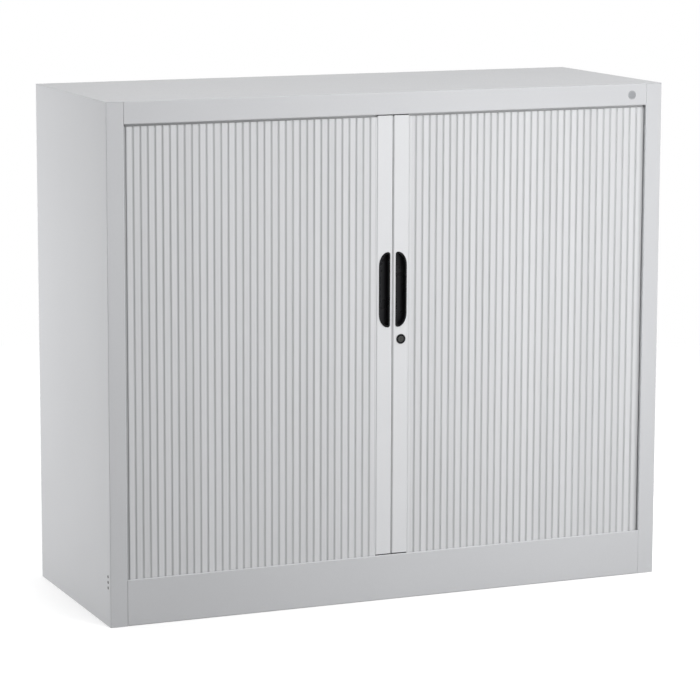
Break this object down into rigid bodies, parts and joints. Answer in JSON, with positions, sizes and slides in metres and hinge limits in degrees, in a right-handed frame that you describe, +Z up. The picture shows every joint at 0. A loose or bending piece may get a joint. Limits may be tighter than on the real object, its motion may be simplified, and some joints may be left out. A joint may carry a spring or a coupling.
{
  "type": "tambour door cabinet",
  "caption": "Low steel office cabinet with slatted curtain doors that slide sideways into the side walls, recessed grips, a cam lock and shelves inside.",
  "frame": {"origin": "middle of the base at floor level", "axes": "+X along the width, to the right seen from the front, +Y from front to back, +Z up"},
  "size_m": [1.2, 0.45, 1.03],
  "materials": {
    "powder_coat": "fine powder coat, light grey, satin",
    "inner_coat": "powder coat, light grey, satin",
    "slat_plastic": "extruded slats, light grey, satin",
    "bar_coat": "coated channel, light grey, satin",
    "grip_plastic": "moulded, black, glossy",
    "lock_black": "moulded, black",
    "nickel": "nickel plated",
    "zinc_steel": "zinc plated",
    "track_plastic": "extruded, grey",
    "foot_plastic": "moulded, black",
    "buffer_rubber": "soft strip, grey",
    "badge_metal": "plain disc, satin"
  },
  "bodies": {
    "carcase": {"side_panel_left": "powder_coat", "side_panel_right": "powder_coat", "top_panel": "powder_coat", "plinth_front": "powder_coat", "back_panel": "powder_coat", "head_panel": "inner_coat", "base_pan": "inner_coat", "liner_left": "inner_coat", "liner_right": "inner_coat", "inner_back": "inner_coat", "floor_panel": "inner_coat", "floor_strip_front": "track_plastic", "floor_strip_rear": "track_plastic", "shelf_lower": "inner_coat", "shelf_upper": "inner_coat", "badge_disc": "badge_metal", "clip_lower_front_left": "zinc_steel", "clip_lower_front_right": "zinc_steel", "clip_lower_rear_left": "zinc_steel", "clip_lower_rear_right": "zinc_steel", "clip_upper_front_left": "zinc_steel", "clip_upper_front_right": "zinc_steel", "clip_upper_rear_left": "zinc_steel", "clip_upper_rear_right": "zinc_steel", "foot_nut_front_left": "zinc_steel", "foot_nut_front_right": "zinc_steel", "foot_nut_rear_left": "zinc_steel", "foot_nut_rear_right": "zinc_steel", "lower_track_left": "track_plastic", "lower_track_right": "track_plastic", "upper_track_left": "track_plastic", "upper_track_right": "track_plastic", "access_cap_front_left": "track_plastic", "access_cap_front_right": "track_plastic", "access_cap_rear_left": "track_plastic", "access_cap_rear_right": "track_plastic"},
    "left_door": {"leading_bar_left": "bar_coat", "curtain_left": "slat_plastic", "grip_left": "grip_plastic", "lower_guide_left": "foot_plastic", "upper_guide_left": "foot_plastic", "closing_buffer": "buffer_rubber"},
    "right_door": {"leading_bar_right": "bar_coat", "curtain_right": "slat_plastic", "grip_right": "grip_plastic", "lower_guide_right": "foot_plastic", "upper_guide_right": "foot_plastic", "lock_housing": "lock_black", "lock_ring_nut": "zinc_steel"},
    "lock": {"lock_plug": "nickel", "hook_cam": "zinc_steel", "cam_screw": "zinc_steel"},
    "foot_front_left": {"foot_pad_front_left": "foot_plastic"},
    "foot_front_right": {"foot_pad_front_right": "foot_plastic"},
    "foot_rear_left": {"foot_pad_rear_left": "foot_plastic"},
    "foot_rear_right": {"foot_pad_rear_right": "foot_plastic"},
    "stud_front_left": {"foot_stud_front_left": "zinc_steel"},
    "stud_front_right": {"foot_stud_front_right": "zinc_steel"},
    "stud_rear_left": {"foot_stud_rear_left": "zinc_steel"},
    "stud_rear_right": {"foot_stud_rear_right": "zinc_steel"}
  },
  "joints": [
    {"name": "left_door_slide", "type": "slide", "parent": "carcase", "child": "left_door", "axis": [-1, 0, 0], "range_m": [0, 0.51], "deforming": ["curtain_left"]},
    {"name": "right_door_slide", "type": "slide", "parent": "carcase", "child": "right_door", "axis": [1, 0, 0], "range_m": [0, 0.51], "deforming": ["curtain_right"]},
    {"name": "lock_turn", "type": "hinge", "parent": "right_door", "child": "lock", "pos_m": [0.0181, -0.222, 0.534], "axis": [0, 1, 0], "range_deg": [0, 90]},
    {"name": "foot_drop_front_left", "type": "slide", "parent": "carcase", "child": "foot_front_left", "axis": [0, 0, -1], "range_m": [0, 0.012]},
    {"name": "foot_drop_front_right", "type": "slide", "parent": "carcase", "child": "foot_front_right", "axis": [0, 0, -1], "range_m": [0, 0.012]},
    {"name": "foot_drop_rear_left", "type": "slide", "parent": "carcase", "child": "foot_rear_left", "axis": [0, 0, -1], "range_m": [0, 0.012]},
    {"name": "foot_drop_rear_right", "type": "slide", "parent": "carcase", "child": "foot_rear_right", "axis": [0, 0, -1], "range_m": [0, 0.012]},
    {"name": "stud_turn_front_left", "type": "hinge", "parent": "foot_front_left", "child": "stud_front_left", "pos_m": [-0.53, -0.165, 0.05], "axis": [0, 0, -1], "range_deg": [0, 2880]},
    {"name": "stud_turn_front_right", "type": "hinge", "parent": "foot_front_right", "child": "stud_front_right", "pos_m": [0.53, -0.165, 0.05], "axis": [0, 0, -1], "range_deg": [0, 2880]},
    {"name": "stud_turn_rear_left", "type": "hinge", "parent": "foot_rear_left", "child": "stud_rear_left", "pos_m": [-0.53, 0.165, 0.05], "axis": [0, 0, -1], "range_deg": [0, 2880]},
    {"name": "stud_turn_rear_right", "type": "hinge", "parent": "foot_rear_right", "child": "stud_rear_right", "pos_m": [0.53, 0.165, 0.05], "axis": [0, 0, -1], "range_deg": [0, 2880]}
  ],
  "couplings": [
    {"joint": "stud_turn_front_left", "follows": "foot_drop_front_left", "rad_per_m": 4188.8},
    {"joint": "stud_turn_front_right", "follows": "foot_drop_front_right", "rad_per_m": 4188.8},
    {"joint": "stud_turn_rear_left", "follows": "foot_drop_rear_left", "rad_per_m": 4188.8},
    {"joint": "stud_turn_rear_right", "follows": "foot_drop_rear_right", "rad_per_m": 4188.8}
  ]
}
